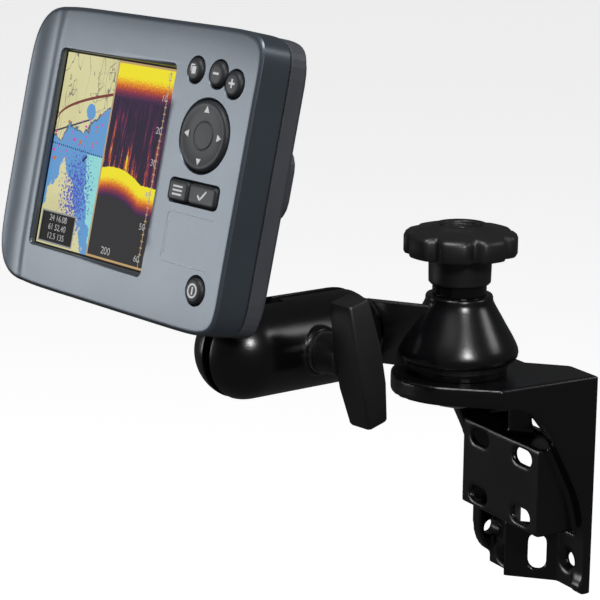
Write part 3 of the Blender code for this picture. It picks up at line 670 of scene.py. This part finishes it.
def arrow_pad(mat):
    x, z, radius = DPAD
    profile = [(radius, 3.6), (radius, -0.7), (radius - 0.4, -1.6), (radius - 1.3, -2.2),
               (radius - 2.2, -2.25), (radius - 3.4, -1.9), (9.0, -1.5), (7.0, -1.5),
               (6.75, -1.3), (6.45, -1.3), (6.2, -1.65), (3.0, -1.85), (0.05, -1.9)]

    def build(shape):
        rings = []
        for r, y in profile:
            rings.append([(u, y, w) for u, w in flattened(circle((x, z), r, 72), z)])
        loft(shape, rings)
    return finish_piece(make("arrow_pad", build, head), "key_arrows", mat,
                        ["key_arrows"])


def bar_key(name, mat):
    x, z, width, height = BAR_KEYS[name]

    def build(shape):
        rings = []
        for y, inset in ((3.6, 0.0), (-1.2, 0.0), (-1.8, 0.3), (-2.15, 0.9), (-2.2, 1.8)):
            outline = rounded((x, z), width - 2 * inset, height - 2 * inset,
                              max(1.9 - inset * 0.6, 0.5))
            rings.append([(u, y, w) for u, w in outline])
        loft(shape, rings)
    return finish_piece(make(name + "_cap", build, head), name, mat, [name])


def decal(name, body, outlines, y, mat, thick=0.12):
    def build(shape):
        for outline in outlines:
            prism(shape, outline, y - thick, y)
    return finish_piece(make(name, build, head), body, mat)


def stroke(start, end, half):
    """A straight bar between two points, as an outline."""
    direction = Vector(end) - Vector(start)
    side = Vector((-direction.y, direction.x)).normalized() * half
    a, b = Vector(start), Vector(end)
    return [tuple(a + side), tuple(a - side), tuple(b - side), tuple(b + side)]


def ring_outline(centre, radius, half):
    """A ring as one outline, left open by a hair so that it doesn't cross itself."""
    outer = arc(centre, radius + half, 0, 359.9, 28)
    inner = arc(centre, radius - half, 359.9, 0, 28)
    return outer + inner


def key_symbols(white):
    x, z, _ = ROUND_KEYS["key_zoom_out"]
    decal("minus_mark", "key_zoom_out", [stroke((x - 2, z), (x + 2, z), 0.5)], KEY_FRONT - 0.1,
          white)
    x, z, _ = ROUND_KEYS["key_zoom_in"]
    decal("plus_mark", "key_zoom_in", [stroke((x - 2, z), (x + 2, z), 0.5),
                                       stroke((x, z + 0.5), (x, z + 2), 0.5),
                                       stroke((x, z - 2), (x, z - 0.5), 0.5)],
          KEY_FRONT - 0.1, white)
    x, z, _ = ROUND_KEYS["key_pages"]
    sheets = [rounded((x + 0.5, z - 0.4), 2.8, 3.4, 0.4),
              stroke((x - 1.6, z + 2.0), (x + 0.8, z + 2.0), 0.3),
              stroke((x - 1.6, z + 2.0), (x - 1.6, z - 1.0), 0.3)]
    decal("pages_mark", "key_pages", sheets, KEY_FRONT - 0.1, white)
    x, z, _ = ROUND_KEYS["key_power"]
    decal("power_mark", "key_power", [ring_outline((x, z), 2.9, 0.42),
                                      stroke((x, z - 1.7), (x, z + 1.7), 0.42)],
          KEY_FRONT - 0.1, white)
    x, z, radius = DPAD
    arrows = []
    for turn in range(4):
        angle = math.radians(90 * turn)
        c, s = math.cos(angle), math.sin(angle)
        tip = radius - 3.3
        corners = [(tip, 0.0), (tip - 3.0, 1.6), (tip - 3.0, -1.6)]
        arrows.append([(x + u * c - w * s, z + u * s + w * c) for u, w in corners])
    decal("arrow_marks", "key_arrows", arrows, -1.55, white, 0.55)
    x, z, _, _ = BAR_KEYS["key_menu"]
    rows = [stroke((x - 3.4, z + d), (x + 3.4, z + d), 0.42) for d in (-1.8, 0, 1.8)]
    decal("menu_mark", "key_menu", rows, -2.2, white)
    x, z, _, _ = BAR_KEYS["key_enter"]
    tick = [stroke((x - 2.8, z - 0.2), (x - 0.8, z - 2.0), 0.48),
            stroke((x - 0.8, z - 2.0), (x + 3.0, z + 2.0), 0.48)]
    decal("enter_mark", "key_enter", tick, -2.2, white)


def wire(name, points, radius, body, mat, matrix):
    """A thin raised or sunk line following points given in millimetres."""
    curve = bpy.data.curves.new(name, "CURVE")
    curve.dimensions = "3D"
    curve.bevel_depth = radius * MM
    curve.bevel_resolution = 2
    curve.use_fill_caps = True
    spline = curve.splines.new("POLY")
    spline.points.add(len(points) - 1)
    for point, place in zip(spline.points, points):
        point.co = (*(Vector(place) * MM), 1.0)
    obj = bpy.data.objects.new(name, curve)
    obj.matrix_world = matrix
    bpy.context.scene.collection.objects.link(obj)
    curve.materials.append(mat)
    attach(obj, body)
    return obj


def on_face(outline):
    return [(x, face_height(x, z, 30.0), z) for x, z in outline]


def plate_lines(light):
    """The panel's framed field, open to the right, with a doubled line on its left."""
    left, right, top, low = 41.5, 74.0, -16.5, -39.0
    outline = [(right, top), (56.0, top)] + arc((left + 2.5, top - 2.5), 2.5, 90, 180, 7)
    outline += arc((left + 2.5, low + 2.5), 2.5, 180, 270, 7) + [(56.0, low), (right, low)]
    wire("plate_line", on_face(outline), 0.16, "display_head", light, head)
    second = [(left + 1.4, top - 3.2), (left + 1.4, low + 3.2)]
    wire("plate_line_inner", on_face(second), 0.12, "display_head", light, head)


def depth_numbers(mat):
    """Scale figures beside the sonar history, and rows of figures in the data box."""
    wide, tall = ACTIVE
    left = WINDOW_AT[0] - wide * 0.5
    low = WINDOW_AT[1] - tall * 0.5
    rows = [("0", 0.93, 0.945, 4.4)]
    rows += [("%d" % (10 * i), 0.915, 0.995 - 0.160 * i, 4.4) for i in range(1, 7)]
    rows += [("24 16.08", 0.172, 0.127, 4.2), ("61 52.40", 0.172, 0.080, 4.2),
             ("12.5 135", 0.172, 0.033, 4.2)]
    rows += [("200", 0.64, 0.030, 5.0)]
    turn = Matrix.Rotation(math.radians(90), 4, "X")
    for i, (words, u, v, height) in enumerate(rows):
        text = bpy.data.curves.new("figures_%d" % i, "FONT")
        text.body = words
        text.size = height * MM
        text.align_x = "CENTER"
        text.extrude = 0.00002
        obj = bpy.data.objects.new("figures_%d" % i, text)
        place = Vector((left + wide * u, FIGURE_Y, low + tall * v)) * MM
        obj.matrix_world = head @ Matrix.Translation(place) @ turn
        bpy.context.scene.collection.objects.link(obj)
        text.materials.append(mat)
        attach(obj, "display_head")


# ---- pivot stack pieces ---------------------------------------------------------
def lobe_radius(angle, low, high):
    flute = (0.5 + 0.5 * math.cos(LOBES * angle)) ** FLUTE_POWER
    return high - (high - low) * flute


def knob(mat):
    heights = [(74.6, 13.0, 14.0), (74.6, 22.0, 25.2), (75.1, 23.4, 26.9), (76.2, 23.9, 27.5),
               (83.4, 23.9, 27.5), (84.9, 23.3, 26.8), (85.9, 22.4, 25.4), (86.6, 20.8, 23.0),
               (87.6, 16.5, 17.5), (88.5, 13.6, 13.8), (89.3, 12.9, 12.9), (89.4, 12.4, 12.4),
               (89.3, 11.2, 11.2), (88.6, 10.4, 10.4), (87.2, 10.2, 10.2), (87.2, 4.0, 4.0),
               (86.6, 3.4, 3.4)]

    def build(shape):
        rings = []
        for z, low, high in heights:
            ring = []
            for i in range(KNOB_STEPS):
                angle = 2 * math.pi * i / KNOB_STEPS
                r = lobe_radius(angle - math.radians(KNOB_PHASE), low, high)
                ring.append((r * math.cos(angle), r * math.sin(angle), z))
            rings.append(ring)
        loft(shape, rings)
    obj = make("knob_grip", build, hub, 40)
    finish_piece(obj, "knob", mat, ["clamp_knob", "knob_cap"])
    neck = [(15.9, 76.5), (15.5, 75.4), (15.3, 70.0), (15.1, 61.4), (14.5, 60.7), (9.7, 60.6),
            (9.7, 76.5)]
    obj = turned("knob_sleeve", neck, hub, loop=True)
    finish_piece(obj, "knob", mat)


def hub_cone(mat):
    profile = [(6.6, 55.1), (14.8, 55.2), (16.0, 54.8), (16.4, 54.0), (16.4, 52.6), (16.9, 51.2),
               (18.0, 49.0), (20.6, 44.6), (23.4, 39.6), (26.0, 35.2), (28.0, 31.4), (29.1, 28.8),
               (29.4, 27.0), (29.1, 25.3), (28.4, 24.1), (27.4, 23.5), (6.6, 23.4)]
    obj = turned("hub_cone", profile, hub, steps=120, loop=True, sharp=50)
    finish_piece(obj, "swing", mat, ["swing_arm"])


def swing_lever(mat):
    """The flat-sided lever from the cone to the ball's post."""
    root = (hub.inverted() @ arm @ (Vector((0, ARM_HALF + 27, 0)) * MM)) / MM
    heading = Matrix.Rotation(math.atan2(root.y, root.x), 4, "Z")
    reach = root.to_2d().length

    def build(shape):
        prism(shape, LEVER_SECTION, LEVER_START, reach, "X")
        edges = [e for e in shape.edges if len(e.link_faces) == 2
                 and e.calc_face_angle() > 0.35]
        bmesh.ops.bevel(shape, geom=edges, offset=LEVER_EDGE, segments=4, profile=0.5,
                        affect="EDGES", clamp_overlap=True)
    obj = make("swing_lever", build, hub @ heading)

    def scoop(shape):
        bmesh.ops.create_uvsphere(shape, u_segments=64, v_segments=40, radius=SCOOP_RADIUS)
    cutter = make("scoop", scoop, arm @ Matrix.Translation((0, ARM_HALF * MM, 0)))
    relief = turned("relief", [(RELIEF_RADIUS, 24.0), (RELIEF_RADIUS, 12.0)], hub)
    cut(obj, [cutter, relief])
    smooth_by_angle(obj, 35)
    finish_piece(obj, "swing", mat)
    post = [(STEM_RADIUS, ARM_HALF + y) for y in (36, 24, 15)]
    finish_piece(turned("ball_stem", post, arm, "Y", 40), "swing", mat)


# ---- socket arm -------------------------------------------------------------------
def socket_shell(side, name, node, mat):
    radius = SHELL_RADIUS
    dome = [(radius * math.sin(math.radians(a)), ARM_HALF + radius * math.cos(math.radians(a)))
            for a in range(2, 91, 4)]
    middle = [(radius, ARM_HALF * (1 - 0.1 * i)) for i in range(1, 10)]
    half = dome + middle
    profile = half + [(radius, 0.0)] + [(r, -y) for r, y in half[::-1]]
    obj = turned(name, profile, arm, "Y", 96)

    def block(low, high):
        def build(shape):
            centre = (Vector(low) + Vector(high)) * 0.5
            size = Vector(high) - Vector(low)
            matrix = Matrix.Translation(centre) @ Matrix.Diagonal((*size, 1.0))
            bmesh.ops.create_cube(shape, size=1.0, matrix=matrix)
        return make("block", build, arm)

    def sphere(at):
        def build(shape):
            bmesh.ops.create_uvsphere(shape, u_segments=56, v_segments=36, radius=SOCKET_RADIUS,
                                      matrix=Matrix.Translation(at))
        return make("sphere", build, arm)

    boss = [(12.3, 12.0 * side), (12.0, 21.6 * side), (11.4, 22.9 * side), (10.6, 23.5 * side),
            (4.4, 23.6 * side)]
    boss_obj = turned("boss", boss, arm, "X", 64)
    cut(obj, [boss_obj], "UNION")
    keep = sorted((SHELL_SPLIT * side, -60.0 * side))
    hollow_radius, hollow_half = HOLLOW
    bolt_radius, bolt_half = BOLT_WAY
    hollow = [(hollow_radius, hollow_half), (hollow_radius, -hollow_half)]
    bolt_way = [(bolt_radius, -bolt_half), (bolt_radius, bolt_half)]
    cutters = [block((keep[0], -80, -60), (keep[1], 80, 60)),
               sphere((0, ARM_HALF, 0)), sphere((0, -ARM_HALF, 0)),
               turned("hollow", hollow, arm, "Y", 64),
               turned("bolt_way", bolt_way, arm, "X", 32),
               block((-6, ARM_HALF + 11, -14), (6, 70, 14)),
               block((-6, -ARM_HALF - 11, 11), (6, -ARM_HALF + 19, 50))]
    cut(obj, cutters)
    smooth_by_angle(obj, 32)
    return finish_piece(obj, "socket_arm", mat, [node])


def t_handle(mat):
    """Square bar across a round neck, narrowing to both ends."""
    tilt = Matrix.Rotation(math.radians(BAR_TILT), 4, "X")
    wide, deep = BAR_SECTION

    def build(shape):
        rings = []
        for z, scale in BAR_STATIONS:
            outline = rounded((0, 0), wide * scale, deep * scale, BAR_CORNER, 6)
            rings.append([(BAR_X + x, y, z) for x, y in outline])
        loft(shape, rings)
    obj = make("handle_bar", build, arm @ tilt, 30)
    finish_piece(obj, "handle", mat, ["clamp_handle"])
    neck = [(4.3, 26.0), (9.0, 26.0), (9.5, 26.6), (9.3, 31.0), (8.9, 36.0), (9.6, 40.0),
            (4.3, 40.5)]
    finish_piece(turned("handle_neck", neck, arm, "X", 56, loop=True), "handle", mat)


# ---- stage ------------------------------------------------------------------------
def stage():
    g = Graph("floor")
    tone = g.ramp(g.noise(g.object_point(), 3.0, 2.0), [(0.3, (0.60, 0.60, 0.60)),
                                                        (0.7, (0.62, 0.62, 0.62))])
    g.set(Base_Color=tone, Roughness=0.8, Emission_Color=(1.0, 1.0, 1.0, 1.0))
    g.shader.inputs["Emission Strength"].default_value = FLOOR_GLOW
    mesh = bpy.data.meshes.new("floor")
    shape = bmesh.new()
    bmesh.ops.create_grid(shape, x_segments=2, y_segments=2, size=FLOOR_HALF)
    shape.to_mesh(mesh)
    shape.free()
    floor = bpy.data.objects.new("floor", mesh)
    floor.location = (0, 0, FLOOR_Z)
    floor.data.materials.append(g.material)
    floor.visible_diffuse = False
    floor.visible_glossy = False
    bpy.context.scene.collection.objects.link(floor)

    world = bpy.data.worlds.new("studio")
    world.use_nodes = True
    sky = world.node_tree.nodes["Background"]
    sky.inputs["Color"].default_value = WORLD_TONE
    sky.inputs["Strength"].default_value = WORLD_GLOW
    bpy.context.scene.world = world
    bpy.context.scene.view_settings.view_transform = "Standard"


def area_light(name, at, target, size, power):
    data = bpy.data.lights.new(name, "AREA")
    data.size = size
    data.energy = power
    obj = bpy.data.objects.new(name, data)
    obj.location = at
    direction = Vector(target) - Vector(at)
    obj.rotation_euler = direction.to_track_quat("-Z", "Y").to_euler()
    bpy.context.scene.collection.objects.link(obj)


def camera():
    data = bpy.data.cameras.new("camera")
    data.lens = CAMERA_LENS
    data.sensor_width = 36.0
    data.clip_start = 0.01
    obj = bpy.data.objects.new("camera", data)
    turn = Matrix.Rotation(math.radians(CAMERA_AZIMUTH), 4, "Z")
    tilt = Matrix.Rotation(math.radians(90 - CAMERA_ELEVATION), 4, "X")
    roll = Matrix.Rotation(math.radians(CAMERA_ROLL), 4, "Z")
    obj.matrix_world = Matrix.Translation(CAMERA_AT) @ turn @ tilt @ roll
    bpy.context.scene.collection.objects.link(obj)
    bpy.context.scene.camera = obj


def dress(node, mat):
    data = frame["nodes"][node].data
    data.materials.clear()
    data.materials.append(mat)


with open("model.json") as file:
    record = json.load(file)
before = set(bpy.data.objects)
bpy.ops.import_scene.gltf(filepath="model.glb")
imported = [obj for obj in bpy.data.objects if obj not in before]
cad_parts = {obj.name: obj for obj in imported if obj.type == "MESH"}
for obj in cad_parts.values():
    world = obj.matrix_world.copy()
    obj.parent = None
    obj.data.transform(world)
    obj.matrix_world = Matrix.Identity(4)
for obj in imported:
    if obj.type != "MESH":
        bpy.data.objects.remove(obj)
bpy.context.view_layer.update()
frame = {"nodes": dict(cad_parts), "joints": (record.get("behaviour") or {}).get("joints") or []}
head = head_matrix()
arm = arm_matrix()
hub = hub_matrix()

camera()
stage()
for light, settings in LIGHTS.items():
    area_light(light, *settings)

# black powder coat, with a painted highlight lightening its sharp convex edges
casting = surface("powder_coat", (0.004, 0.004, 0.005), 0.24, grain=1900, bump=0.06,
                  specular=0.85, edge=1.1, edge_sheen=0.25)
plastic = surface("moulded_nylon", (0.013, 0.013, 0.014), 0.40, grain=2600, bump=0.10,
                  specular=0.85, edge=0.8)
slate = surface("slate_plastic", (0.098, 0.102, 0.117), 0.42, grain=2200, bump=0.14, edge=0.8)
rubber = surface("key_rubber", (0.030, 0.033, 0.038), 0.46, grain=3000, bump=0.10, edge=0.3)
ball_rubber = surface("ball_rubber", (0.012, 0.012, 0.012), 0.5, grain=2400, bump=0.2)
gloss = surface("bearing_plastic", (0.006, 0.006, 0.006), 0.13, grain=900, bump=0.02)
paint = head_paint()
steel = brushed("stainless", (0.62, 0.62, 0.63), 0.22)
dark_steel = brushed("dark_washer", (0.10, 0.10, 0.105), 0.30)
brass = brushed("brass", (0.72, 0.52, 0.24), 0.25)
white = ink("white_print", (0.86, 0.87, 0.88))
line_ink = ink("fine_line", (0.52, 0.56, 0.60))
figures = ink("screen_figures", (0.62, 0.62, 0.62))
green = surface("solder_mask", (0.02, 0.14, 0.06), 0.35, grain=700, bump=0.1)

head_face(paint)
window_pane(lit_screen())
for key in ROUND_KEYS:
    dome_key(key, rubber)
for key in BAR_KEYS:
    bar_key(key, rubber)
arrow_pad(rubber)
key_symbols(white)
plate_lines(line_ink)
depth_numbers(figures)

bracket = softened("wall_bracket", "bracket_casting", 0.8, 9, 0.4)
finish_piece(bracket, "bracket", casting, ["wall_bracket"])
hub_cone(casting)
swing_lever(casting)
knob(plastic)
socket_shell(1, "shell_near", "socket_shell_near", casting)
socket_shell(-1, "shell_far", "socket_shell_far", casting)
t_handle(plastic)

for node in ("lower_washer", "top_bushing"):
    dress(node, gloss)
dress("upper_washer", dark_steel)
for node in ("rear_cover", "mount_adapter"):
    dress(node, slate)
for node in ("ball_wall_side", "ball_head_side"):
    dress(node, ball_rubber)
dress("ball_post", casting)
for node in ("pivot_stud", "clamp_bolt", "arm_spring", "handle_washer", "power_socket",
             "sonar_socket", "adapter_screw_1", "adapter_screw_2",
             "housing_screw_1", "housing_screw_2", "housing_screw_3", "housing_screw_4"):
    dress(node, steel)
dress("knob_insert", brass)
for node in ("lcd_panel", "backlight", "beeper"):
    dress(node, plastic)
dress("main_board", green)
for node in ("keypad_mat", "seam_gasket"):
    dress(node, rubber)
